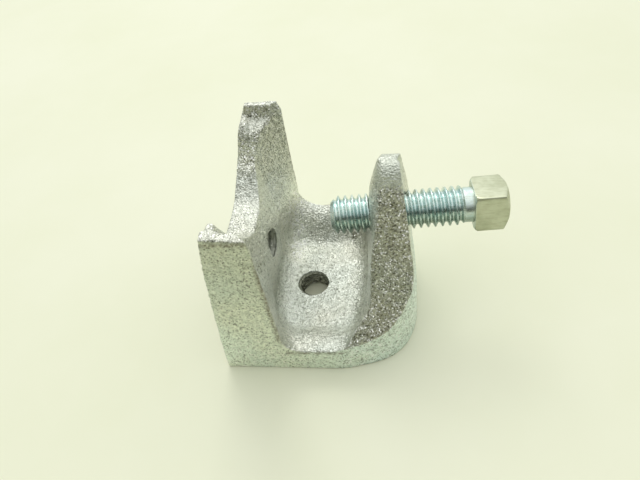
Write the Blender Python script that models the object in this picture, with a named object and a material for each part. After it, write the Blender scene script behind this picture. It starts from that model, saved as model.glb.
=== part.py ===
# Beam clamp with a square-head set screw, at real size.
# The casting has a floor, a wide notched leg on the -X side and a narrow arm on the +X side.
# Sizes are in millimetres, laid out from the axis of the tapped hole in the floor, at the
# bottom of the base: +X runs towards the square head, +Z is up, Y = 0 is the middle plane,
# and -Y is the front.  The finished part is then moved along X so that the bottom centre
# of the whole part stands at the world origin.
import math

import bmesh
import bpy
from mathutils import Matrix, Vector

MM = 0.001

# ---- floor ------------------------------------------------------------------
BASE_T = 4.8            # floor thickness at the tapped hole
HALF_W = 20.0           # half of the full width in Y
# (distance from the middle plane, height of the floor), with raised rims at front and back
FRONT_RIM = ((0.0, BASE_T), (12.0, BASE_T), (13.4, 5.2), (15.0, 6.4), (16.4, 7.05),
             (18.0, 7.2), (20.0, 7.1))
BACK_RIM = ((0.0, BASE_T), (12.0, BASE_T), (13.0, 5.0), (14.5, 6.6), (16.0, 9.0),
            (17.2, 10.4), (18.5, 11.2), (20.0, 11.8))
FLOOR_FLAT_MIN = 0.3    # least floor kept between the two fillets

# ---- narrow arm -------------------------------------------------------------
ARM_BASE_OUT = 24.2     # outer face of the arm at the bottom
ARM_TOP = 42.4          # height of the arm's tip
ARM_FILLET = 4.2        # height of the fillet between the floor and the arm
ARM_FILLET_SHARE = 0.85 # most of the arm's height over the floor the fillet may take
ARM_FILLET_RUN = 3.6    # least length of that fillet along X
ARM_RISE_MIN = 0.35     # least height of the arm over the floor
ARM_THICK_MIN = 0.7     # least thickness of the arm
ARM_HALF_MIN = 0.8      # least half width used to place a point across the arm
ARM_DISH = 0.6          # how far the outer face is dished between its two edges
DISH_START_Z = 8.0      # height where the dish begins
DISH_FULL_Z = 20.0      # height where it reaches full depth
ARM_IN_POWER = 2.5      # how late the inner face turns from its middle to its edge
# (distance from the middle plane, X of the outer wall at the base)
PLAN_X = ((0.0, ARM_BASE_OUT), (6.0, 24.0), (9.0, 23.5), (11.8, 22.5), (14.3, 21.0),
          (15.7, 19.6), (17.1, 17.5), (18.2, 14.9), (19.1, 11.8), (19.6, 9.6), (20.0, 6.6))
# (half width of the arm, height): round at the tip, flat at the foot
ARM_PROFILE = ((0.0, ARM_TOP), (1.5, 42.0), (3.0, 40.9), (4.0, 39.0), (5.0, 36.6),
               (6.0, 34.0), (8.0, 28.8), (10.0, 23.4), (12.0, 18.5), (14.0, 14.5),
               (16.0, 11.8), (18.0, 9.6), (19.2, 8.5), (20.0, 7.7))
# (height, X of the outer face before dishing)
ARM_OUT = ((0.0, ARM_BASE_OUT), (12.0, 23.9), (14.0, 23.75), (16.0, 23.55), (18.5, 23.35),
           (21.2, 23.1), (24.3, 22.75), (27.2, 22.4), (31.2, 21.95), (34.9, 21.5),
           (39.2, 20.95), (ARM_TOP, 20.5))
# (height, share of the base's corner rounding that is left)
CORNER_LEFT = ((0.0, 1.0), (12.0, 1.0), (14.0, 0.95), (16.0, 0.72), (18.5, 0.35),
               (21.0, 0.1), (24.0, 0.0), (43.0, 0.0))
# (height, X of the inner face) at its middle, and at the edge where it meets the flank
ARM_IN_MID = ((0.0, 12.9), (10.0, 13.2), (20.0, 13.75), (25.0, 14.25), (28.0, 14.4),
              (31.0, 14.35), (34.0, 14.4), (38.0, 15.3), (ARM_TOP, 16.5))
ARM_IN_EDGE = ((7.0, 7.8), (8.7, 9.2), (11.2, 11.2), (14.0, 13.5), (15.8, 14.15),
               (19.9, 14.35), (23.7, 14.6), (27.2, 15.0), (31.3, 15.85), (35.0, 16.6),
               (40.1, 16.95), (43.0, 17.1))

# ---- wide leg ---------------------------------------------------------------
LEG_OUT_LOW = -18.4     # outer face of the leg at the bottom
LEG_OUT_TOP = -13.0     # outer face of the leg at its tips
LEG_IN = -4.3           # inner face of the leg at the side planes, before the tip rounding
LEG_TOP = 42.8          # height of the two leg tips
LEG_FILLET = 4.2        # fillet between the floor and the leg
WEB_POWER = 1.15        # how gradually the web rises to the side planes
OUT_ROUND_Z = 39.0      # height where the rounding of the tips' outer corner begins
IN_ROUND_Z = 40.3       # height where the rounding of the tips' inner corner begins
# depth of the roundings at the outer and the inner corner of a tip
FRONT_TIP_ROUND = (0.2, 0.4)
BACK_TIP_ROUND = (0.8, 1.1)
# (distance from the middle plane, height of the leg): a U notch between two tips
NOTCH_PROFILE = ((0.0, 27.0), (3.0, 27.1), (4.3, 27.4), (6.5, 28.7), (8.5, 30.3),
                 (10.5, 32.3), (12.6, 34.6), (14.6, 38.9), (16.5, 40.2), (17.9, 41.2),
                 (18.4, 42.5), (18.9, LEG_TOP), (20.0, LEG_TOP))
# hollowed web: (height, X of its inner face), and (height, half width at that full depth)
WEB_IN = ((0.0, -8.8), (6.0, -8.5), (12.0, -7.6), (19.0, -7.2), (23.0, -8.2), (27.0, -9.5),
          (31.0, -10.3), (36.0, -11.0), (43.0, -11.8))
WEB_HALF = ((0.0, 7.0), (12.0, 7.5), (20.0, 9.0), (28.0, 11.5), (43.0, 12.2))

# ---- holes ------------------------------------------------------------------
HOLE_R = 3.45           # bore of the two small tapped holes
WALL_HOLE_Z = 19.3      # height of the small hole in the leg
BORE_R = 4.20           # bore of the arm's tapped hole, at the thread's outside
FLOOR_CUT_BELOW = 2.0   # how far the floor's cutter starts below the base
FLOOR_CUT_EXTRA = 8.0   # its length beyond the floor's thickness
WALL_CUT_OUTSIDE = 6.0  # how far the leg's cutter starts outside the leg
BORE_CUT_BEFORE = 3.3   # how far the arm's cutter starts before the pivot
SIDE_CUT_LEN = 20.0     # length of the leg's and the arm's cutters
CUTTER_SEGMENTS = 40

# ---- set screw, laid out along X before it leans -----------------------------
SCREW_Z = 28.2          # height of the pivot on the screw axis
PIVOT_X = 12.2          # point of the axis about which the screw leans, on the middle plane
SCREW_YAW = 3.335       # lean of the screw and its hole towards +Y, degrees
SCREW_PITCH = 1.644     # lean upwards towards the head, degrees
SCREW_R = 3.90          # outside radius of the thread
SCREW_ROOT_R = 3.15     # root radius of the thread
PITCH = 1.4111          # 18 threads to the inch
THREAD_PHASE = 0.321    # where the crest stands round the screw, in turns
ROOT_SHARE = 0.12       # share of the half pitch that lies flat at the root
FLANK_SHARE = 0.72      # share of the half pitch taken by the flank
RUN_OUT = 0.9           # length of the thread run-out, in pitches
THREAD_SEGMENTS = 24
RINGS_PER_PITCH = 5
UNDER_X = 34.6          # underside of the head
NECK_R = 3.50           # plain neck under the head
THREAD_END = UNDER_X - 1.4      # where the thread has run out into the neck
NECK_RINGS = (UNDER_X - 0.5, UNDER_X + 0.8)     # the second lies inside the head
TIP_X = 6.6             # end of the screw point
POINT_LEN = 2.4         # length of the plain point
POINT_R = SCREW_ROOT_R - 0.1
POINT_GAP = 0.05        # gap between the point and the threaded shank
# (distance from the tip, radius)
POINT_RINGS = ((0.0, 1.9), (0.0, 2.5), (0.55, POINT_R), (POINT_LEN, POINT_R))
POINT_SEGMENTS = 32

HEAD_F = 7.94           # across the flats of the square head
HEAD_H = 6.5            # height of the head
HEAD_CHAMFER = 1.13     # length over which the outer end is chamfered
CHAMFER_SLOPE = 1.85    # radius the chamfer loses for each millimetre along the axis
HEAD_LIMIT = 1.52       # round limit of the corners, in half flats, where the chamfer starts
UNDER_LIMIT = 1.34      # the same limit at the underside
UNDER_EDGE = 0.25       # length of the corners' bevel at the underside
HEAD_TURN = -8.4        # rotation of the head about the screw axis, degrees
HEAD_SEGMENTS = 48

# ---- steps of the casting's mesh ----------------------------------------------
STATIONS = 36           # steps between cross-sections from the front to the back
CROWDING = 0.55         # share of sine spacing, which crowds stations to the side planes
BOTTOM_STEPS = 8
FACE_STEPS = 10
TIP_STEPS = 3
FLOOR_STEPS = 6
ARM_FILLET_STEPS = 5
LEG_FILLET_STEPS = 6


# ---- helpers ------------------------------------------------------------------
def clear_scene():
    for item in list(bpy.data.objects):
        bpy.data.objects.remove(item, do_unlink=True)
    for blocks in (bpy.data.meshes, bpy.data.materials):
        for item in list(blocks):
            blocks.remove(item)


def metal(name, colour, roughness):
    material = bpy.data.materials.new(name)
    material.use_nodes = True
    shader = material.node_tree.nodes["Principled BSDF"]
    shader.inputs["Base Color"].default_value = (*colour, 1.0)
    shader.inputs["Metallic"].default_value = 1.0
    shader.inputs["Roughness"].default_value = roughness
    return material


def lerp(start, end, t):
    return start + (end - start) * t


def clamp(t):
    return min(1.0, max(0.0, t))


def table(rows, key):
    """Straight-line reading of a (key, value) table, held at its last value."""
    for (key0, value0), (key1, value1) in zip(rows, rows[1:]):
        if key <= key1:
            return lerp(value0, value1, (key - key0) / (key1 - key0))
    return rows[-1][1]


def loft(name, loops, material=None, smooth=True):
    """A capped solid through closed loops that all have the same point count."""
    count = len(loops[0])
    verts = [(x * MM, y * MM, z * MM) for loop in loops for x, y, z in loop]
    faces = []
    for j in range(len(loops) - 1):
        for k in range(count):
            a = j * count + k
            b = j * count + (k + 1) % count
            faces.append((a, b, b + count, a + count))
    faces.append(tuple(range(count)))
    faces.append(tuple(range(len(verts) - count, len(verts))))

    mesh = bpy.data.meshes.new(name)
    mesh.from_pydata(verts, [], faces)
    mesh.validate()
    bm = bmesh.new()
    bm.from_mesh(mesh)
    bmesh.ops.recalc_face_normals(bm, faces=bm.faces)
    bm.to_mesh(mesh)
    bm.free()
    solid = bpy.data.objects.new(name, mesh)
    bpy.context.scene.collection.objects.link(solid)
    if material is not None:
        mesh.materials.append(material)
    for face in mesh.polygons:
        face.use_smooth = smooth
    return solid


def turn_angles(segments):
    return [2.0 * math.pi * k / segments for k in range(segments)]


def ring(x, radii):
    """A loop about the X axis with one radius for each segment."""
    return [(x, r * math.cos(angle), r * math.sin(angle))
            for r, angle in zip(radii, turn_angles(len(radii)))]


def cylinder(name, start, axis, radius, length):
    start, axis = Vector(start), Vector(axis).normalized()
    side = axis.orthogonal().normalized()
    other_side = axis.cross(side)
    loops = [[tuple(start + axis * along
                    + (side * math.cos(angle) + other_side * math.sin(angle)) * radius)
              for angle in turn_angles(CUTTER_SEGMENTS)]
             for along in (0.0, length)]
    return loft(name, loops)


def combine(solid, tool, operation):
    """Apply an exact Boolean to the solid and remove the tool."""
    modifier = solid.modifiers.new("combine", "BOOLEAN")
    modifier.operation = operation
    modifier.solver = "EXACT"
    modifier.object = tool
    bpy.context.view_layer.objects.active = solid
    bpy.ops.object.modifier_apply(modifier=modifier.name)
    bpy.data.objects.remove(tool, do_unlink=True)


# ---- casting --------------------------------------------------------------------
def tip_rounding(y, z, corner, start_z):
    """Depth of a leg tip's rounding, growing smoothly from start_z to the leg's top."""
    depth = (BACK_TIP_ROUND if y > 0 else FRONT_TIP_ROUND)[corner]
    t = clamp((z - start_z) / (LEG_TOP - start_z))
    return depth * t * t * (3.0 - 2.0 * t)


def leg_outer(y, z):
    return lerp(LEG_OUT_LOW, LEG_OUT_TOP, z / LEG_TOP) + tip_rounding(y, z, 0, OUT_ROUND_Z)


def leg_inner(y, z):
    web = table(WEB_IN, z)
    web_half = table(WEB_HALF, z)
    rise = clamp((abs(y) - web_half) / (HALF_W - web_half)) ** WEB_POWER
    return lerp(web, LEG_IN, rise) - tip_rounding(y, z, 1, IN_ROUND_Z)


def arm_half_width(z):
    """Half width of the arm at a height, the ARM_PROFILE read the other way."""
    for (half0, height0), (half1, height1) in zip(ARM_PROFILE, ARM_PROFILE[1:]):
        if z >= height1:
            return lerp(half0, half1, clamp((height0 - z) / (height0 - height1)))
    return HALF_W


def across_arm(y, z):
    """0 at the middle of the arm, 1 at its edge and beyond."""
    return min(1.0, abs(y) / max(ARM_HALF_MIN, arm_half_width(z)))


def arm_outer(y, z):
    corner = (ARM_BASE_OUT - table(PLAN_X, abs(y))) * table(CORNER_LEFT, z)
    depth = ARM_DISH * clamp((z - DISH_START_Z) / (DISH_FULL_Z - DISH_START_Z))
    return table(ARM_OUT, z) - corner - depth * (1.0 - across_arm(y, z) ** 2)


def arm_inner(y, z):
    middle = table(ARM_IN_MID, z)
    edge = table(ARM_IN_EDGE, max(z, ARM_IN_EDGE[0][0]))
    x = lerp(middle, edge, across_arm(y, z) ** ARM_IN_POWER)
    return min(x, arm_outer(y, z) - ARM_THICK_MIN)


def tip_points(x_from, x_to, z):
    """Points between the two faces of a leg or arm, across its tip."""
    return [(lerp(x_from, x_to, k / TIP_STEPS), z) for k in range(1, TIP_STEPS)]


def section(y):
    """One closed XZ loop: along the bottom, over the arm, across the floor, over the leg."""
    floor = table(FRONT_RIM if y < 0 else BACK_RIM, abs(y))
    leg_z = table(NOTCH_PROFILE, abs(y))
    arm_z = max(table(ARM_PROFILE, abs(y)), floor + ARM_RISE_MIN)

    # bottom, from the leg to the arm
    points = [(lerp(LEG_OUT_LOW, arm_outer(y, 0.0), k / BOTTOM_STEPS), 0.0)
              for k in range(BOTTOM_STEPS + 1)]

    # arm: up the outer face, across the tip, down the inner face
    for k in range(1, FACE_STEPS + 1):
        z = arm_z * k / FACE_STEPS
        points.append((arm_outer(y, z), z))
    points += tip_points(arm_outer(y, arm_z), arm_inner(y, arm_z), arm_z)
    fillet = min(ARM_FILLET, (arm_z - floor) * ARM_FILLET_SHARE)
    for k in range(FACE_STEPS):
        z = lerp(arm_z, floor + fillet, k / (FACE_STEPS - 1))
        points.append((arm_inner(y, z), z))

    # arm fillet
    run = max(ARM_FILLET_RUN, fillet)
    arm_x = arm_inner(y, floor + fillet)
    for k in range(1, ARM_FILLET_STEPS + 1):
        angle = math.pi / 2.0 * k / ARM_FILLET_STEPS
        points.append((arm_x - run * (1.0 - math.cos(angle)),
                       floor + fillet - fillet * math.sin(angle)))

    # floor
    leg_x = leg_inner(y, floor + LEG_FILLET)
    floor_start = arm_x - run
    floor_end = min(leg_x + LEG_FILLET, floor_start - FLOOR_FLAT_MIN)
    for k in range(1, FLOOR_STEPS):
        points.append((lerp(floor_start, floor_end, k / FLOOR_STEPS), floor))

    # leg fillet
    for k in range(LEG_FILLET_STEPS + 1):
        angle = math.pi / 2.0 * k / LEG_FILLET_STEPS
        points.append((leg_x + (floor_end - leg_x) * (1.0 - math.sin(angle)),
                       floor + LEG_FILLET * (1.0 - math.cos(angle))))

    # leg: up the inner face, across the tip, down the outer face
    for k in range(1, FACE_STEPS + 1):
        z = lerp(floor + LEG_FILLET, leg_z, k / FACE_STEPS)
        points.append((leg_inner(y, z), z))
    points += tip_points(leg_inner(y, leg_z), leg_outer(y, leg_z), leg_z)
    for k in range(FACE_STEPS):
        z = lerp(leg_z, 0.0, k / FACE_STEPS)
        points.append((leg_outer(y, z), z))
    return [(x, y, z) for x, z in points]


def casting(material, lean):
    loops = []
    for k in range(STATIONS + 1):
        t = -1.0 + 2.0 * k / STATIONS
        y = HALF_W * math.sin(t * math.pi / 2.0) * CROWDING + HALF_W * t * (1.0 - CROWDING)
        loops.append(section(y))
    body = loft("clamp_body", loops, material)

    axis = lean.to_3x3() @ Vector((1.0, 0.0, 0.0))
    bore_start = Vector((PIVOT_X, 0.0, SCREW_Z)) - axis * BORE_CUT_BEFORE
    wall_start = (LEG_OUT_LOW - WALL_CUT_OUTSIDE, 0.0, WALL_HOLE_Z)
    cutters = (
        ("floor_hole", (0.0, 0.0, -FLOOR_CUT_BELOW), (0, 0, 1), HOLE_R,
         BASE_T + FLOOR_CUT_EXTRA),
        ("wall_hole", wall_start, (1, 0, 0), HOLE_R, SIDE_CUT_LEN),
        ("screw_bore", bore_start, axis, BORE_R, SIDE_CUT_LEN),
    )
    for cutter in cutters:
        combine(body, cylinder(*cutter), "DIFFERENCE")
    return body


# ---- set screw ------------------------------------------------------------------
def thread_radius(x, turn):
    """Radius of the thread at x, a share of a turn round the screw."""
    phase = (x / PITCH - turn + THREAD_PHASE) % 1.0
    rise = clamp((abs(2.0 * phase - 1.0) - ROOT_SHARE) / FLANK_SHARE)
    fade = min(1.0, (THREAD_END - x) / (RUN_OUT * PITCH))
    return lerp(lerp(SCREW_ROOT_R, SCREW_R, rise), NECK_R, 1.0 - fade)


def threaded_shank(material):
    """Stacked rings whose crests follow the helix, running out into the plain neck."""
    start = TIP_X + POINT_LEN + POINT_GAP
    steps = int(round((THREAD_END - start) / PITCH * RINGS_PER_PITCH))
    loops = []
    for j in range(steps + 1):
        x = start + (THREAD_END - start) * j / steps
        loops.append(ring(x, [thread_radius(x, k / THREAD_SEGMENTS)
                              for k in range(THREAD_SEGMENTS)]))
    loops += [ring(x, [NECK_R] * THREAD_SEGMENTS) for x in NECK_RINGS]
    return loft("set_screw", loops, material)


def square_head(material):
    """Square head; a cone chamfers its outer end and meets the corners first."""
    half = HEAD_F / 2.0
    chamfer_start = HEAD_H - HEAD_CHAMFER
    levels = [0.0, UNDER_EDGE, HEAD_H * 0.5]
    levels += [chamfer_start + HEAD_CHAMFER * share for share in (0.0, 0.25, 0.5, 0.75)]
    levels.append(HEAD_H)
    loops = []
    for level in levels:
        limit = half * HEAD_LIMIT - max(0.0, level - chamfer_start) * CHAMFER_SLOPE
        if level == 0.0:
            limit = half * UNDER_LIMIT
        radii = [min(half / max(abs(math.cos(angle)), abs(math.sin(angle))), limit)
                 for angle in turn_angles(HEAD_SEGMENTS)]
        loops.append(ring(UNDER_X + level, radii))
    head = loft("head", loops, material, smooth=False)
    head.data.transform(Matrix.Rotation(math.radians(HEAD_TURN), 4, "X"))
    return head


def screw_point(material):
    loops = [ring(TIP_X + along, [radius] * POINT_SEGMENTS) for along, radius in POINT_RINGS]
    return loft("set_screw_point", loops, material)


def main():
    clear_scene()
    cast_zinc = metal("cast_zinc", colour=(0.72, 0.73, 0.70), roughness=0.45)
    bright_zinc = metal("bright_zinc", colour=(0.62, 0.68, 0.70), roughness=0.28)
    point_zinc = metal("point_zinc", colour=(0.60, 0.66, 0.68), roughness=0.30)

    lean = (Matrix.Rotation(math.radians(SCREW_YAW), 4, "Z")
            @ Matrix.Rotation(math.radians(-SCREW_PITCH), 4, "Y"))
    body = casting(cast_zinc, lean)
    screw = threaded_shank(bright_zinc)
    combine(screw, square_head(bright_zinc), "UNION")
    point = screw_point(point_zinc)

    # the screw leans with its tapped hole; its own origin is the pivot on its axis
    for piece in (screw, point):
        piece.data.transform(lean @ Matrix.Translation((-PIVOT_X * MM, 0.0, 0.0)))

    # centre the whole part along X
    far_end = PIVOT_X + max(vertex.co.x for vertex in screw.data.vertices) / MM
    middle = (LEG_OUT_LOW + far_end) / 2.0
    body.location = (-middle * MM, 0.0, 0.0)
    for piece in (screw, point):
        piece.location = ((PIVOT_X - middle) * MM, 0.0, SCREW_Z * MM)


main()
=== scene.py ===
"""A cast zinc clamp with a square-headed set screw.

The floor of the casting lies on z = 0. A notched leg with two tips stands at -X, an arm at
+X, and the screw runs through the arm along X, head outwards. The front is -Y.
Sizes are in millimetres from the axis of the floor's tapped hole, angles in degrees.
"""
import math

import bmesh
import bpy
import numpy as np
from mathutils import Matrix, Vector


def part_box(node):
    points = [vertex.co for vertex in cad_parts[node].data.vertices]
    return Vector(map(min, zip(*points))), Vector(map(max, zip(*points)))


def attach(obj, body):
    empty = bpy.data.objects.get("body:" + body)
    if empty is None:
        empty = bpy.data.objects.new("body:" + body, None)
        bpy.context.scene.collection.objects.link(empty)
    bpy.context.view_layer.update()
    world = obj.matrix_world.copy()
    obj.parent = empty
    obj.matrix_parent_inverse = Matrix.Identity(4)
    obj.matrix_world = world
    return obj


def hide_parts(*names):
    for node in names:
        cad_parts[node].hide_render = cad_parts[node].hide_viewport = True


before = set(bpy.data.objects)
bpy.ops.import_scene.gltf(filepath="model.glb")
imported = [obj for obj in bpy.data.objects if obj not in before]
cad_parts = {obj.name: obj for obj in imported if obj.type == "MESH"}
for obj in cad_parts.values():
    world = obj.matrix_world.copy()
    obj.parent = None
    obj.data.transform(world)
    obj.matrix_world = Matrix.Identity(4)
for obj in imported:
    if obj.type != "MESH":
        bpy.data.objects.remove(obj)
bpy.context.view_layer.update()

MM = 0.001

# ---------------------------------------------------------------- casting
LEG_FOOT_X = -18.4                          # outer face of the leg at the bottom
ARM_FACE_X = 24.2                           # outer face of the arm at the bottom
HALF_W = 20.0
LEG_TOP = 42.8
WALL_HOLE_Z = 19.3                          # tapped hole through the leg
# Where the axis of the floor's hole stands in the frame
ORIGIN_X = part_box("clamp_body")[0][0] / MM - LEG_FOOT_X

SLICES = 141                                # cross-sections along Y
FACE_STEPS = 30                             # steps up each long face of a section
VOXEL = 0.22
SMOOTHINGS = 7
CUTTER_SEGMENTS = 96
CUTTER_STEPS = 14                           # rings per turn of thread

# ---------------------------------------------------------------- screw
SCREW_Z = 28.2
TIP_X = 6.6
UNDER_X = 34.6                              # underside of the head
PIVOT_X = 12.2                              # the screw leans about this point of its axis
SCREW_YAW = 3.335
SCREW_PITCH = 1.644
PITCH = 1.4111
THREAD_PHASE = 0.321                        # in turns
THREAD_R = 3.95
THREAD_ROOT = 3.12
THREAD_GAP = 0.08                           # radial play in the arm's hole
NECK_R = 3.5
NECK_LEN = 2.4
SHANK_SEGMENTS = 96
SHANK_STEPS = 16           # rings per turn of thread

HEAD_H = 6.5
HEAD_F = 7.94                               # across the flats
HEAD_TURN = -8.4
HEAD_SEGMENTS = 160
HEAD_SQUARENESS = 26.0                      # superellipse exponent
HEAD_CONE_X = HEAD_H - 1.35                 # where the outer chamfer starts


# ---------------------------------------------------------------- curves and masks
def curve(rows):
    """Monotone cubic through rows of (position, value)."""
    xs, ys = np.array(rows, float).T
    step = np.diff(xs)
    slope = np.diff(ys) / step
    tangent = np.zeros_like(ys)
    tangent[0], tangent[-1] = slope[0], slope[-1]
    for i in range(1, len(xs) - 1):
        if slope[i - 1] * slope[i] > 0:
            before = 2 * step[i] + step[i - 1]
            after = step[i] + 2 * step[i - 1]
            tangent[i] = (before + after) / (before / slope[i - 1] + after / slope[i])

    def value(x):
        x = np.clip(np.asarray(x, float), xs[0], xs[-1])
        i = np.clip(np.searchsorted(xs, x) - 1, 0, len(xs) - 2)
        t = (x - xs[i]) / step[i]
        return (ys[i] * (1 + 2 * t) * (1 - t) ** 2
                + tangent[i] * step[i] * t * (1 - t) ** 2
                + ys[i + 1] * t * t * (3 - 2 * t)
                + tangent[i + 1] * step[i] * t * t * (t - 1))
    return value


def smoothstep(t):
    t = np.clip(t, 0.0, 1.0)
    return t * t * (3.0 - 2.0 * t)


def rise(value, start, span):
    """0 up to start, easing to 1 over span."""
    return smoothstep((value - start) / span)


def fall(value, end, span):
    """1 easing to 0 over the span that finishes at end."""
    return smoothstep((end - value) / span)


def bell(value, centre, width):
    return np.exp(-((value - centre) / width) ** 2)


# Outlines by distance from the middle plane: (distance, height or x)
FRONT_RIM = curve((
    (0, 4.8), (10.5, 4.8), (12.0, 4.95), (13.6, 5.6), (15.2, 6.5), (16.8, 7.0), (18.4, 7.15),
    (20, 7.1)))
BACK_RIM = curve((
    (0, 4.8), (11.0, 4.8), (12.4, 5.1), (14.3, 6.7), (16.0, 9.0), (17.2, 10.3), (18.5, 11.1),
    (20, 11.7)))
PLAN_X = curve((
    (0, 24.2), (6, 24.0), (9, 23.5), (11.8, 22.5), (14.3, 21.0), (15.7, 19.6), (17.1, 17.5),
    (18.2, 14.9), (19.1, 11.8), (19.6, 9.6), (20, 6.6)))
ARM_PROFILE = (
    (0, 42.4), (1.0, 42.25), (2.0, 41.75), (3.0, 40.8), (4.0, 38.9), (5.0, 36.5), (6.0, 34.0),
    (8.0, 28.8), (10.0, 23.4), (12.0, 18.5), (14.0, 14.5), (16.0, 11.8), (18.0, 9.6),
    (19.2, 8.5), (20.0, 7.7))
ARM_HEIGHT = curve(ARM_PROFILE)
# The leg's top: one notch between the tips, then each tip's inner and outer edge
NOTCH = ((0, 27.0), (3, 27.1), (4.3, 27.4), (6.5, 28.7), (8.5, 30.3), (10.5, 32.3), (12.6, 34.6))
NOTCH_OUTER = curve(NOTCH + (
    (14.6, 38.9), (15.4, 39.6), (17.4, 40.2), (18.05, 40.8), (18.45, 42.3), (18.9, 42.8),
    (20, 42.8)))
NOTCH_INNER = curve(NOTCH + (
    (14.6, 37.9), (16.5, 39.3), (17.9, 40.4), (18.3, 41.6), (18.6, 42.7), (18.9, 42.8),
    (20, 42.8)))

# Outlines by height: (height, x), unless noted
ARM_HALF_W = curve([(z, width) for width, z in reversed(ARM_PROFILE)])    # (height, half width)
ARM_OUT = curve((
    (0, 24.2), (12, 23.9), (14, 23.75), (16, 23.55), (18.5, 23.35), (21.2, 23.1), (24.3, 22.75),
    (27.2, 22.4), (31.2, 21.95), (34.9, 21.5), (39.2, 20.95), (42.4, 20.5)))
# (height, share of the plan's rounded corner that is kept)
CORNER_SHARE = curve((
    (0, 1.0), (12, 1.0), (14, 0.95), (16, 0.72), (18.5, 0.35), (21, 0.1), (24, 0.0), (43, 0.0)))
ARM_IN_MID = curve((
    (0, 12.9), (10, 13.2), (20, 13.75), (25, 14.25), (28, 14.4), (31, 14.4), (34, 14.45),
    (38, 15.3), (42.4, 16.5)))
ARM_IN_EDGE = curve((
    (7, 7.8), (8.7, 9.2), (11.2, 11.2), (14, 13.5), (15.8, 14.15), (19.9, 14.35), (23.7, 14.6),
    (27.2, 15.0), (31.3, 15.85), (35, 16.6), (40.1, 16.95), (43, 17.1)))
LEG_OUT = curve(((0, LEG_FOOT_X), (10.6, -17.4), (20, -16.3), (32, -14.8), (LEG_TOP, -13.1)))
LEG_IN_EDGE_X = -4.3                        # leg's inner face at the front and back ends
WEB_IN = curve((
    (0, -8.8), (6, -8.5), (12, -7.6), (19, -7.2), (23, -8.2), (27, -9.5), (31, -10.3),
    (36, -11.0), (43, -11.8)))
# (height, distance from the middle plane where the leg starts to thicken)
WEB_HALF_W = curve(((0, 7.0), (12, 7.5), (20, 9.0), (28, 11.5), (43, 12.2)))

# What differs between the ends: floor height, extra width of the tip's land, how much the
# tip thins on its outer and inner face, and the (end, span) in x of the step over its top
FRONT_END = dict(rim=FRONT_RIM, land=0.55, thin_out=0.15, thin_in=0.3, step=(-9.3, 2.2))
BACK_END = dict(rim=BACK_RIM, land=0.0, thin_out=0.8, thin_in=0.75, step=(-11.2, 1.2))


def section(y):
    """Closed XZ cross-section of the casting at y, as rows of (x, y, z)."""
    end = FRONT_END if y < 0 else BACK_END
    away = abs(y)
    floor = float(end["rim"](away))
    notch_at = min(HALF_W, away + end["land"] * float(rise(away, 16.0, 1.5)))
    inner_top, outer_top = float(NOTCH_INNER(notch_at)), float(NOTCH_OUTER(notch_at))
    arm_top = max(float(ARM_HEIGHT(away)), floor + 0.10)
    set_back = ARM_FACE_X - float(PLAN_X(away))

    def leg_out(z):
        return LEG_OUT(z) + end["thin_out"] * rise(z, 39.0, 3.8)

    def leg_in(z):
        web, web_edge = WEB_IN(z), WEB_HALF_W(z)
        blend = np.clip((away - web_edge) / (HALF_W - web_edge), 0.0, 1.0) ** 1.15
        return web + (LEG_IN_EDGE_X - web) * blend - end["thin_in"] * rise(z, 40.6, 2.2)

    def across_arm(z):
        """0 in the middle of the arm, 1 at its edge."""
        return np.minimum(1.0, away / np.maximum(0.8, ARM_HALF_W(z)))

    def arm_out(z):
        hollow = 0.6 * (1 - across_arm(z) ** 2) * np.clip((z - 8.0) / 12.0, 0, 1)
        return ARM_OUT(z) - set_back * CORNER_SHARE(z) - hollow

    def arm_in(z):
        middle = ARM_IN_MID(z)
        inner = middle + (ARM_IN_EDGE(z) - middle) * across_arm(z) ** 2.5
        return np.minimum(inner, arm_out(z) - 0.7)

    outline = []

    def put(x, z):
        outline.append(np.stack(np.broadcast_arrays(x, y, z), axis=-1))

    steps = np.arange(1, FACE_STEPS + 1) / FACE_STEPS

    # underside, from the leg to the arm
    left, right = float(leg_out(0.0)), float(arm_out(0.0))
    put(left + (right - left) * np.linspace(0, 1, FACE_STEPS + 1), 0.0)
    # up the arm's outer face and across its top
    z = arm_top * steps
    put(arm_out(z), z)
    inner, outer = float(arm_in(arm_top)), float(arm_out(arm_top))
    put(outer + (inner - outer) * np.arange(1, 10) / 10.0, arm_top)
    # down its inner face and round the fillet
    rise_z = min(4.2, (arm_top - floor) * 0.85)
    run = max(3.6, rise_z)
    fillet_z = floor + rise_z
    z = arm_top + (fillet_z - arm_top) * np.linspace(0, 1, FACE_STEPS)
    put(arm_in(z), z)
    arm_x = float(arm_in(fillet_z))
    angle = math.pi / 2.0 * np.arange(1, 13) / 12.0
    put(arm_x - run * (1 - np.cos(angle)), fillet_z - rise_z * np.sin(angle))
    # along the floor and round the fillet at the leg
    radius = 4.2 + 1.3 * float(rise(y, 2.0, 8.0))
    floor_right = arm_x - run
    leg_x = float(leg_in(floor + radius))
    floor_left = min(leg_x + radius, floor_right - 0.3)
    put(floor_right + (floor_left - floor_right) * np.arange(1, 20) / 20.0, floor)
    angle = math.pi / 2.0 * np.arange(0, 15) / 14.0
    put(leg_x + (floor_left - leg_x) * (1 - np.sin(angle)), floor + radius * (1 - np.cos(angle)))
    # up the leg's inner face, over its top and down its outer face
    z = floor + radius + (inner_top - floor - radius) * steps
    put(leg_in(z), z)
    inner, outer = float(leg_in(inner_top)), float(leg_out(outer_top))
    x = inner + (outer - inner) * np.arange(1, 14) / 14.0
    put(x, inner_top + (outer_top - inner_top) * fall(x, *end["step"]))
    z = outer_top * (1 - np.arange(0, FACE_STEPS) / float(FACE_STEPS))
    put(leg_out(z), z)
    return np.concatenate(outline)


# ---------------------------------------------------------------- mesh tools
def shade_smooth(mesh):
    mesh.polygons.foreach_set("use_smooth", [True] * len(mesh.polygons))


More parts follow.
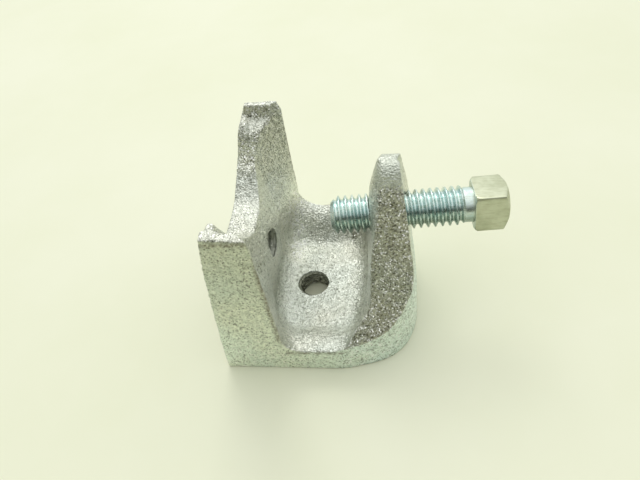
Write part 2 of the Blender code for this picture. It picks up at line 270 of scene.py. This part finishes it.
def loft(name, rings):
    """Closed solid through equal rings of points, capped at both ends."""
    rings = np.asarray(rings, float)
    rows, count = rings.shape[:2]
    points = rings.reshape(-1, 3) * MM
    points[:, 0] += ORIGIN_X * MM
    faces = []
    for j in range(rows - 1):
        for i in range(count):
            a = j * count + i
            b = j * count + (i + 1) % count
            faces.append((a, b, b + count, a + count))
    faces.append(tuple(range(count)))
    faces.append(tuple(range((rows - 1) * count, rows * count)))
    mesh = bpy.data.meshes.new(name)
    mesh.from_pydata(points.tolist(), [], faces)
    mesh.update()
    bm = bmesh.new()
    bm.from_mesh(mesh)
    bmesh.ops.recalc_face_normals(bm, faces=bm.faces)
    bm.to_mesh(mesh)
    bm.free()
    thing = bpy.data.objects.new(name, mesh)
    bpy.context.scene.collection.objects.link(thing)
    shade_smooth(mesh)
    return thing


def apply_modifier(thing, kind, **settings):
    modifier = thing.modifiers.new(kind.title(), kind)
    for key, value in settings.items():
        setattr(modifier, key, value)
    graph = bpy.context.evaluated_depsgraph_get()
    mesh = bpy.data.meshes.new_from_object(thing.evaluated_get(graph))
    old = thing.data
    thing.modifiers.clear()
    thing.data = mesh
    bpy.data.meshes.remove(old)


def boolean(thing, tool, operation):
    """Join or cut with the tool, which is used up."""
    solver = "EXACT" if len(thing.data.polygons) < 60000 else "MANIFOLD"
    apply_modifier(thing, "BOOLEAN", operation=operation, solver=solver, object=tool)
    bpy.data.objects.remove(tool, do_unlink=True)


def lean(mesh):
    """Lean a mesh laid along X about the pivot of the screw's axis."""
    pivot = Vector(((ORIGIN_X + PIVOT_X) * MM, 0.0, SCREW_Z * MM))
    turn = (Matrix.Rotation(math.radians(SCREW_YAW), 4, "Z")
            @ Matrix.Rotation(math.radians(-SCREW_PITCH), 4, "Y"))
    mesh.transform(Matrix.Translation(pivot) @ turn @ Matrix.Translation(-pivot))


def vertex_vectors(mesh, kind):
    values = np.empty(len(mesh.vertices) * 3)
    mesh.vertices.foreach_get(kind, values)
    return values.reshape(-1, 3)


def vertex_places(mesh):
    """Vertex places in millimetres from the axis of the floor's hole."""
    places = vertex_vectors(mesh, "co") / MM
    places[:, 0] -= ORIGIN_X
    return places


def store(mesh, **attributes):
    for name, values in attributes.items():
        layer = mesh.attributes.new(name, "FLOAT", "POINT")
        layer.data.foreach_set("value", np.ascontiguousarray(values, dtype=np.float32))


def dress(mesh, material):
    mesh.materials.clear()
    mesh.materials.append(material)


# ---------------------------------------------------------------- casting
def hashed(cell, seed):
    """A fixed value from -1 to 1 for each integer cell."""
    cell = cell.astype(np.int64)
    h = ((cell[:, 0] * 73856093) ^ (cell[:, 1] * 19349663) ^ (cell[:, 2] * 83492791)
         ^ (seed * 2654435761))
    h = (h ^ (h >> 13)) * 1274126177
    h = h ^ (h >> 16)
    return (h & 0xFFFFFF) / float(0xFFFFFF) * 2.0 - 1.0


def value_noise(places, scale, seed):
    """Smooth noise from -1 to 1 with cells of the given size."""
    scaled = places / scale
    cell = np.floor(scaled).astype(np.int64)
    part = scaled - cell
    part = part * part * (3 - 2 * part)
    total = 0.0
    for corner in np.ndindex(2, 2, 2):
        weight = np.prod(np.where(corner, part, 1 - part), axis=1)
        total = total + weight * hashed(cell + corner, seed)
    return total


# Surface unevenness: (height, cell size, seed)
CAST_GRAIN = ((0.055, 3.1, 3), (0.035, 1.1, 5), (0.030, 0.52, 7))
# Two lumps on the front tip and one on the back tip: (x, y, radius, height)
CAST_LUMPS = ((-11.5, -16.5, 1.55, 3.4), (-7.6, -17.3, 0.9, 0.6), (-12.3, 16.2, 1.0, 0.35))


def roughen(mesh):
    """Give the casting its uneven skin and lumps, kept inside its box."""
    places = vertex_places(mesh)
    normals = vertex_vectors(mesh, "normal")
    x, y, z = places.T
    bottom = rise(-normals[:, 2], 0.9, 0.08) * (z < 0.6)
    leg_face = rise(-normals[:, 0], 0.9, 0.08)
    push = sum(height * value_noise(places, size, seed) for height, size, seed in CAST_GRAIN)
    push *= (1 - bottom) * (1 - 0.5 * leg_face)
    # the edges of the front face are a little uneven
    front_edge = bell(y, 0.3 - HALF_W, 0.6) * (z > 3)
    push += front_edge * 0.10 * value_noise(places, 0.9, 11)
    moved = places + normals * push[:, None]
    for lump_x, lump_y, radius, height in CAST_LUMPS:
        spread = np.exp(-(((x - lump_x) ** 2 + (y - lump_y) ** 2) / radius ** 2)) * (z > 37.5)
        moved[:, 2] += height * spread * rise(normals[:, 2], -0.3, 0.6)
    # the front tip's top sinks towards its inner edge
    sink = np.clip((x + 12.7) / 8.0, 0, 1) * (y < 0) * (x < 0)
    moved[:, 2] -= 0.6 * rise(z, 38.0, 3.0) * sink
    low = np.array([LEG_FOOT_X, -HALF_W, 0.0])
    high = np.array([ARM_FACE_X, HALF_W, LEG_TOP])
    moved = np.minimum(np.maximum(moved, low), high)
    moved[:, 0] += ORIGIN_X
    mesh.vertices.foreach_set("co", (moved * MM).ravel())
    mesh.update()


def around_x(x, radius, angle, centre_z):
    """Points at the given radii and angles about a line along X."""
    y = radius * np.cos(angle)
    return np.stack([np.broadcast_to(x, y.shape), y, centre_z + radius * np.sin(angle)], axis=-1)


def circle(segments):
    return 2 * math.pi * np.arange(segments) / segments


def thread_grid(start, end, major, minor, phase, segments, steps):
    """Places, angles and radii of a right-hand thread; rows run along its axis."""
    flat_root, flat_crest = 0.22, 0.16      # shares of a half pitch
    rows = max(3, int(round((end - start) / PITCH * steps)))
    along, angle = np.meshgrid(np.linspace(start, end, rows + 1), circle(segments), indexing="ij")
    turn = (along / PITCH - angle / (2 * math.pi) + phase) % 1.0
    flank = np.abs(2 * turn - 1)            # 0 at the root centre, 1 at the crest centre
    flank = np.clip((flank - flat_root) / (1 - flat_root - flat_crest), 0, 1)
    flank = smoothstep(flank) * 0.35 + flank * 0.65
    return along, angle, minor + (major - minor) * flank


def cutter_points(start, end, major, minor, phase, centre_z=0.0):
    along, angle, radius = thread_grid(start, end, major, minor, phase,
                                       CUTTER_SEGMENTS, CUTTER_STEPS)
    return around_x(along, radius, angle, centre_z)


def cut_holes(body):
    """Tap the floor, the leg and the arm."""
    floor = cutter_points(-1.0, 9.0, major=4.02, minor=3.35, phase=0.1)
    floor = np.roll(floor, -1, axis=-1) + (0.15, 0.0, 0.0)      # stood upright
    leg = cutter_points(-22.0, 2.0, major=3.50, minor=2.95, phase=0.4, centre_z=WALL_HOLE_Z)
    arm = cutter_points(8.0, 30.0, major=THREAD_R + THREAD_GAP, minor=THREAD_ROOT + THREAD_GAP,
                        phase=THREAD_PHASE, centre_z=SCREW_Z)
    tools = [loft("Cutter", points) for points in (floor, leg, arm)]
    lean(tools[-1].data)
    for tool in tools:
        boolean(body, tool, "DIFFERENCE")


def mask_body(mesh):
    """Store where each look of the casting's skin shows."""
    places = vertex_places(mesh)
    x, y, z = places.T
    nx, ny, nz = vertex_vectors(mesh, "normal").T
    away = np.abs(y)

    # side: the flat front and back faces, the low wall under the arm's rounded corners,
    # and the arm's outer face, fading upwards
    side = rise(np.abs(ny), 0.75, 0.2) * rise(away, HALF_W - 1.2, 0.8)
    wall = rise(np.hypot(nx, ny), 0.9, 0.08) * (x > 6) * fall(z, 14.5, 2.0)
    side = np.maximum(side, wall * rise(away + x, 26.0, 3.0))
    side = np.maximum(side, rise(nx, 0.6, 0.25) * (x > 12) * fall(z, 26.0, 16.0))
    rest = 1 - side

    # coarse: the arm's flanks, and the faces of the two tips that look along Y
    flank = rise(np.abs(ny), 0.45, 0.25) * (x > 8.5) * rest * fall(z, 39.3, 1.5)
    tips = rise(np.abs(ny), 0.55, 0.2) * (x < -4) * (z > 31) * rest

    # dirt: beside the leg's inner edge, along the rim and below the front tip's top
    near_side = rise(away, HALF_W - 0.7, 0.5)
    dirt = near_side * bell(x, -4.75, 0.42) * rise(z, 9.0, 3.0) * fall(z, 40.0, 8.0)
    rim_z = np.where(y < 0, 6.6, 11.2)
    dirt = np.maximum(dirt, near_side * bell(z, rim_z, 0.45) * (x > -4.0) * (x < 10))
    dirt = np.maximum(dirt, near_side * bell(z, 41.6, 0.55) * (x < -3) * (y < 0))

    # hole shade: painted shade on the walls of the holes in the floor and the leg
    bore = fall(np.hypot(x, y), 3.95, 0.15) * (z < 4.75) * (z > 0.05)
    leg_bore = fall(np.hypot(y, z - WALL_HOLE_Z), 3.7, 0.15) * (x < -7.6) * (x > -16.2)

    # painted light: the back left of the floor and its crease are brightened, and the back tip's
    # slope gets a painted highlight
    lift = bell(x, -5.0, 3.0) * rise(y, 4.0, 5.0) * fall(z, 24.0, 8.0)
    slope = rise(nz, 0.15, 0.3) * rise(y, 9.0, 3.0) * (x < -6)
    slope = slope * rise(z, 28.0, 3.0) * fall(z, 37.5, 2.0)

    # polish: the arm's tip; corner: the side mask, growing towards the arm
    store(mesh, side=side, coarse=np.maximum(flank, 0.55 * tips), dirt=dirt,
          bore=np.maximum(bore, 0.35 * leg_bore), lift=np.maximum(lift, 0.8 * slope) * rest,
          polish=rise(z, 38.2, 1.4) * (x > 8) * rest, corner=side * rise(x, 3.0, 14.0))


def build_body():
    # sections stand closer together towards the front and back faces
    t = np.linspace(-1, 1, SLICES)
    ys = HALF_W * (0.5 * np.sin(t * math.pi / 2) + 0.5 * t)
    body = loft("Clamp_Body", [section(float(y)) for y in ys])
    apply_modifier(body, "REMESH", mode="VOXEL", voxel_size=VOXEL * MM)
    apply_modifier(body, "SMOOTH", factor=0.5, iterations=SMOOTHINGS)
    roughen(body.data)
    cut_holes(body)
    shade_smooth(body.data)
    mask_body(body.data)
    dress(body.data, cast_material())
    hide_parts("clamp_body")
    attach(body, "clamp")


# ---------------------------------------------------------------- screw
def build_shank():
    along, angle, radius = thread_grid(TIP_X, UNDER_X - 0.9, THREAD_R, THREAD_ROOT,
                                       THREAD_PHASE, SHANK_SEGMENTS, SHANK_STEPS)
    # the thread runs out into the neck, and the tip is chamfered
    threaded = fall(along, UNDER_X - NECK_LEN + 0.9, 1.0)
    radius = NECK_R + (radius - NECK_R) * threaded
    radius = np.minimum(radius, 2.75 + (along - TIP_X) * 1.05)

    def rings(stations):
        return [around_x(x, r, angle[0], SCREW_Z) for x, r in stations]

    # (x, radius) of the cup in the point, and of the neck's end inside the head
    cup = rings(((TIP_X + 1.0, 0.5), (TIP_X + 0.75, 1.5), (TIP_X + 0.02, 2.35)))
    neck = rings(((UNDER_X - 0.5, NECK_R), (UNDER_X + 0.6, NECK_R + 0.05)))
    thread = around_x(along, radius, angle, SCREW_Z)
    return loft("Set_Screw", np.concatenate([cup, thread, neck]))


def build_head():
    """Square prism with softened corners, a chamfered outer end and a slight dish."""
    levels = [0.0, 0.18, 0.5, 1.6, 3.2, HEAD_CONE_X]
    levels += [HEAD_H - drop for drop in (1.15, 1.0, 0.85, 0.65, 0.4, 0.18, 0.02)]
    angle = circle(HEAD_SEGMENTS)
    power = HEAD_SQUARENESS
    norm = (np.abs(np.cos(angle)) ** power + np.abs(np.sin(angle)) ** power) ** (1 / power)
    square = HEAD_F / 2.0 / norm
    rings = []
    for x in levels:
        cone = 6.1 - max(0.0, x - HEAD_CONE_X) * 1.75
        under = 4.75 + x * 2.2
        radius = np.minimum(np.minimum(square, cone), under)
        if x == levels[-1]:
            radius = radius - 0.12
        rings.append(around_x(UNDER_X + x, radius, angle, 0.0))
    # the dish: (depth below the end, size against the ring before)
    for depth, shrink in ((0.06, 0.75), (0.20, 0.4)):
        ring = rings[-1] * shrink
        ring[:, 0] = UNDER_X + HEAD_H - depth
        rings.append(ring)
    x, y, z = np.moveaxis(np.array(rings), -1, 0)
    cos, sin = math.cos(math.radians(HEAD_TURN)), math.sin(math.radians(HEAD_TURN))
    turned = np.stack([x, y * cos - z * sin, y * sin + z * cos + SCREW_Z], axis=-1)
    return loft("Head_Tool", turned)


def build_screw():
    screw = build_shank()
    boolean(screw, build_head(), "UNION")
    mesh = screw.data
    shade_smooth(mesh)
    x = vertex_places(mesh)[:, 0]
    store(mesh, head=rise(x, UNDER_X - 0.05, 0.1), dirt=np.zeros(len(x)))
    lean(mesh)
    dress(mesh, screw_material())
    mesh.set_sharp_from_angle(angle=math.radians(38))
    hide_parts("set_screw", "set_screw_point")
    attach(screw, "screw")


# ---------------------------------------------------------------- materials
def rgba(colour):
    """Opaque colour from a grey level or a red, green, blue triple."""
    if isinstance(colour, (int, float)):
        colour = (colour,) * 3
    return (*colour, 1.0)


class Nodes:
    """Adds shader nodes to one tree; values may be plain or other nodes' outputs."""

    def __init__(self, tree):
        self.tree = tree

    def feed(self, socket, value):
        if isinstance(value, bpy.types.NodeSocket):
            self.tree.links.new(value, socket)
        elif socket.type == "RGBA":
            socket.default_value = rgba(value)
        else:
            socket.default_value = value

    def add(self, kind, **inputs):
        node = self.tree.nodes.new("ShaderNode" + kind)
        for name, value in inputs.items():
            self.feed(node.inputs[name], value)
        return node

    def place(self):
        return self.add("TexCoord").outputs["Object"]

    def mask(self, name):
        node = self.add("Attribute")
        node.attribute_name = name
        return node.outputs["Fac"]

    def noise(self, place, scale, detail=3.0, roughness=0.6):
        node = self.add("TexNoise", Vector=place, Scale=scale, Detail=detail,
                        Roughness=roughness)
        return node.outputs["Fac"]

    def ramp(self, factor, *stops):
        """Colour ramp; each stop is (position, grey or colour)."""
        node = self.add("ValToRGB", Fac=factor)
        elements = node.color_ramp.elements
        while len(elements) < len(stops):
            elements.new(0.5)
        for element, (position, colour) in zip(elements, stops):
            element.position = position
            element.color = rgba(colour)
        return node.outputs["Color"]

    def mix(self, base, over, factor, blend="MIX"):
        node = self.add("Mix")
        node.data_type = "RGBA"
        node.blend_type = blend
        self.feed(node.inputs["Factor"], factor)
        self.feed(node.inputs["A"], base)
        self.feed(node.inputs["B"], over)
        return node.outputs["Result"]

    def multiply(self, base, over, factor):
        return self.mix(base, over, factor, blend="MULTIPLY")

    def calculate(self, kind, operation, *values):
        node = self.add(kind)
        node.operation = operation
        for socket, value in zip(node.inputs, values):
            self.feed(socket, value)
        return node

    def math(self, operation, a, b):
        return self.calculate("Math", operation, a, b).outputs[0]

    def times(self, value, gain):
        return self.math("MULTIPLY", value, gain)

    def plus(self, base, value, gain):
        return self.math("ADD", base, self.times(value, gain))

    def minus(self, base, value, gain):
        return self.math("SUBTRACT", base, self.times(value, gain))

    def vector(self, operation, *values):
        return self.calculate("VectorMath", operation, *values).outputs[0]


def new_material(name):
    material = bpy.data.materials.new(name)
    material.use_nodes = True
    tree = material.node_tree
    return material, Nodes(tree), tree.nodes["Principled BSDF"].inputs


def cast_material():
    material, nodes, surface = new_material("cast_zinc")
    place = nodes.place()
    side, coarse, dirt, bore, polish, corner, lift = [
        nodes.mask(name)
        for name in ("side", "coarse", "dirt", "bore", "polish", "corner", "lift")]
    fine = nodes.noise(place, scale=3600.0)
    medium = nodes.noise(place, scale=1000.0, roughness=0.55)
    broad = nodes.noise(place, scale=85.0, detail=2.0, roughness=0.5)
    imprints = nodes.add("TexVoronoi", Vector=place, Scale=2500.0).outputs["Distance"]
    grains = nodes.add("TexVoronoi", Vector=place, Scale=3700.0).outputs["Color"]
    grain_a, grain_b, grain_c = nodes.add("SeparateColor", Color=grains).outputs

    # pale on the open faces, greyer on the coarse flanks, faintly blue-green on the sides
    colour = nodes.ramp(medium, (0.30, (0.62, 0.635, 0.57)), (0.70, (0.93, 0.94, 0.87)))
    flank = nodes.ramp(medium, (0.30, (0.42, 0.42, 0.345)), (0.70, (0.64, 0.645, 0.55)))
    sides = nodes.ramp(medium, (0.30, (0.59, 0.64, 0.575)), (0.70, (0.84, 0.875, 0.80)))
    colour = nodes.mix(colour, flank, factor=coarse)
    colour = nodes.mix(colour, sides, factor=side)
    # broad drift between cool and warm
    drift = nodes.ramp(broad, (0.38, (0.88, 0.965, 0.97)), (0.62, (1.0, 0.985, 0.90)))
    colour = nodes.multiply(colour, drift, factor=0.35)
    # painted light: the sides are brighter low down
    height = nodes.times(nodes.add("SeparateXYZ", Vector=place).outputs["Z"], gain=22.0)
    height = nodes.ramp(height, (0.15, (1.42, 1.43, 1.42)), (0.75, (0.98, 0.97, 0.90)))
    colour = nodes.multiply(colour, height, factor=nodes.times(side, gain=0.8))
    # grains of differing darkness, strongest on the coarse faces
    speckle = nodes.ramp(grain_a, (0.06, (0.34, 0.33, 0.30)), (0.20, (0.80, 0.80, 0.79)),
                         (0.75, 0.90), (0.90, 1))
    colour = nodes.multiply(colour, speckle, factor=nodes.plus(0.55, coarse, gain=0.4))
    # a few grains are bare and bright
    glint = nodes.ramp(grain_b, (0.80, 0), (0.88, 1))
    glint = nodes.math("MULTIPLY", glint, nodes.plus(0.22, coarse, gain=0.63))
    colour = nodes.mix(colour, (1.0, 1.0, 0.97), factor=glint)
    # dark dots on the sides, and fine pits everywhere
    dots = nodes.ramp(grain_c, (0.07, (0.26, 0.26, 0.23)), (0.11, 1))
    colour = nodes.multiply(colour, dots, factor=nodes.times(side, gain=0.8))
    pits = nodes.ramp(fine, (0.33, (0.22, 0.215, 0.19)), (0.42, 1))
    colour = nodes.multiply(colour, pits, factor=0.9)
    # patchy brown grime
    patches = nodes.ramp(nodes.noise(place, scale=1300.0, detail=4.0, roughness=0.7),
                         (0.36, 0), (0.62, 1))
    grime = nodes.times(nodes.math("MULTIPLY", dirt, patches), gain=0.95)
    colour = nodes.mix(colour, (0.235, 0.205, 0.135), factor=grime)
    # tints of the masked places
    colour = nodes.multiply(colour, (0.955, 1.0, 1.07), factor=corner)
    # painted shade: the walls of the holes are darkened
    colour = nodes.multiply(colour, (0.36, 0.36, 0.31), factor=bore)
    colour = nodes.mix(colour, (0.62, 0.65, 0.57), factor=nodes.times(polish, gain=0.75))
    # painted light: brightens the back left of the floor and the back tip's slope
    colour = nodes.multiply(colour, (1.42, 1.41, 1.41), factor=lift)
    nodes.feed(surface["Base Color"], colour)
    nodes.feed(surface["Metallic"], nodes.minus(0.96, grime, gain=0.6))

    roughness = nodes.ramp(medium, (0.3, 0.25), (0.7, 0.40))
    for grey, where in ((0.48, side), (0.42, polish), (0.85, grime)):
        roughness = nodes.mix(roughness, grey, factor=where)
    nodes.feed(surface["Roughness"], roughness)

    # rounded sand imprints with sharp valleys, plus finer tooth
    relief = nodes.times(imprints, gain=1.1)
    relief = nodes.plus(relief, fine, gain=0.5)
    relief = nodes.plus(relief, medium, gain=1.2)
    # each grain is a small facet that leans its own way
    amount = nodes.plus(0.42, coarse, gain=0.75)
    for where, loss in ((side, 0.10), (bore, 0.22), (polish, 0.24)):
        amount = nodes.minus(amount, where, gain=loss)
    tilt = nodes.calculate("VectorMath", "SCALE",
                           nodes.vector("SUBTRACT", grains, (0.5, 0.5, 0.5)))
    nodes.feed(tilt.inputs["Scale"], amount)
    normal = nodes.add("NewGeometry").outputs["Normal"]
    normal = nodes.vector("NORMALIZE", nodes.vector("ADD", normal, tilt.outputs[0]))
    bump = nodes.add("Bump", Strength=1.0, Distance=0.00013, Height=relief, Normal=normal)
    nodes.feed(surface["Normal"], bump.outputs["Normal"])
    return material


def screw_material():
    material, nodes, surface = new_material("bright_zinc")
    place = nodes.place()
    head, dirt = nodes.mask("head"), nodes.mask("dirt")
    broad = nodes.noise(place, scale=260.0)
    colour = nodes.ramp(broad, (0.35, (0.52, 0.68, 0.70)), (0.65, (0.74, 0.84, 0.84)))
    head_colour = nodes.ramp(broad, (0.35, (0.52, 0.55, 0.405)), (0.65, (0.66, 0.69, 0.54)))
    colour = nodes.mix(colour, head_colour, factor=head)
    # fine scuffs drawn out along X
    stretched = nodes.add("Mapping", Vector=place, Scale=(0.18, 1.0, 1.0)).outputs["Vector"]
    scuffs = nodes.noise(stretched, scale=2600.0, detail=4.0, roughness=0.65)
    worn = nodes.ramp(scuffs, (0.30, (0.72, 0.70, 0.60)), (0.55, 1))
    colour = nodes.multiply(colour, worn, factor=0.6)
    colour = nodes.mix(colour, (0.10, 0.10, 0.085), factor=dirt)
    # painted shade where the surface looks down and a painted highlight where it looks up, less
    # so on the head
    normal = nodes.add("NewGeometry").outputs["Normal"]
    facing = nodes.times(nodes.add("SeparateXYZ", Vector=normal).outputs["Z"], gain=0.5)
    shade = nodes.ramp(nodes.math("ADD", facing, 0.5),
                       (0.05, (0.44, 0.46, 0.40)), (0.42, (0.52, 0.54, 0.48)),
                       (0.60, (0.92, 0.92, 0.90)), (0.80, (1.08, 1.07, 1.04)))
    colour = nodes.multiply(colour, shade, factor=nodes.minus(1.0, head, gain=0.6))
    nodes.feed(surface["Base Color"], colour)
    nodes.feed(surface["Metallic"], 0.96)
    roughness = nodes.ramp(scuffs, (0.3, 0.22), (0.7, 0.33))
    nodes.feed(surface["Roughness"], nodes.mix(roughness, 0.42, factor=head))
    bump = nodes.add("Bump", Strength=0.5, Distance=0.00003, Height=scuffs)
    nodes.feed(surface["Normal"], bump.outputs["Normal"])
    return material


def table_material():
    material, nodes, surface = new_material("table")
    mottle = nodes.noise(nodes.place(), scale=14.0, detail=4.0)
    colour = nodes.ramp(mottle, (0.35, (0.83, 0.84, 0.645)), (0.65, (0.86, 0.865, 0.69)))
    nodes.feed(surface["Base Color"], colour)
    nodes.feed(surface["Roughness"], 0.55)
    return material


# ---------------------------------------------------------------- stage, in metres
def build_floor():
    left, right, front, back = -0.6, 0.6, -0.5, 0.7
    z = -0.00005                            # just clear of the casting's underside
    mesh = bpy.data.meshes.new("Floor")
    corners = [(left, front, z), (right, front, z), (right, back, z), (left, back, z)]
    mesh.from_pydata(corners, [], [(0, 1, 2, 3)])
    floor = bpy.data.objects.new("Floor", mesh)
    bpy.context.scene.collection.objects.link(floor)
    mesh.materials.append(table_material())


def build_world(scene):
    """Bright overhead and behind, dim in front; the camera sees a plain backdrop."""
    world = bpy.data.worlds.new("Studio")
    scene.world = world
    world.use_nodes = True
    tree = world.node_tree
    nodes = Nodes(tree)
    direction = nodes.add("TexCoord").outputs["Generated"]
    axes = nodes.add("SeparateXYZ", Vector=direction).outputs
    glow = nodes.plus(nodes.times(axes["Z"], gain=0.75), axes["Y"], gain=0.35)
    sky = nodes.ramp(nodes.math("ADD", glow, 0.25),
                     (0.0, (0.05, 0.055, 0.04)), (0.22, (0.14, 0.15, 0.12)),
                     (0.55, (0.80, 0.83, 0.80)), (1.0, (1.20, 1.22, 1.18)))
    studio = tree.nodes["Background"]
    nodes.feed(studio.inputs["Color"], sky)
    nodes.feed(studio.inputs["Strength"], 0.97)
    backdrop = nodes.add("Background", Color=(0.87, 0.89, 0.80))
    seen = nodes.add("LightPath").outputs["Is Camera Ray"]
    choice = nodes.calculate("MixShader", None, seen, studio.outputs[0], backdrop.outputs[0]) \
        if False else nodes.add("MixShader")
    for socket, source in zip(choice.inputs, (seen, studio.outputs[0], backdrop.outputs[0])):
        nodes.feed(socket, source)
    nodes.feed(tree.nodes["World Output"].inputs["Surface"], choice.outputs[0])


def build_key_light(scene):
    place, target = Vector((-0.10, 0.34, 0.47)), Vector((0, 0, 0.02))
    light = bpy.data.lights.new("Key", "AREA")
    light.shape = "RECTANGLE"
    light.size, light.size_y = 0.24, 0.20
    light.energy = 0.50
    light.color = (1.0, 1.0, 0.97)
    key = bpy.data.objects.new("Key", light)
    scene.collection.objects.link(key)
    key.location = place
    key.rotation_euler = (target - place).to_track_quat("-Z", "Y").to_euler()


def build_camera(scene):
    lens = bpy.data.cameras.new("Camera")
    camera = bpy.data.objects.new("Camera", lens)
    scene.collection.objects.link(camera)
    # the camera's own axes in the frame: to its right, up, and back towards the viewer
    right = (0.98932, 0.08582, -0.11782)
    up = (0.01442, 0.74672, 0.66498)
    back = (0.14505, -0.65958, 0.73751)
    place = Vector(((19.583 + ORIGIN_X) * MM, -74.553 * MM, 103.607 * MM))
    turn = Matrix((right, up, back)).transposed().to_4x4()
    camera.matrix_world = Matrix.Translation(place) @ turn
    lens.sensor_width = 36.0
    lens.lens = 29.2455
    lens.clip_start = 0.005
    lens.clip_end = 5.0
    scene.camera = camera


build_body()
build_screw()
build_floor()
scene = bpy.context.scene
scene.view_settings.view_transform = "Standard"
scene.view_settings.look = "None"
build_world(scene)
build_key_light(scene)
build_camera(scene)
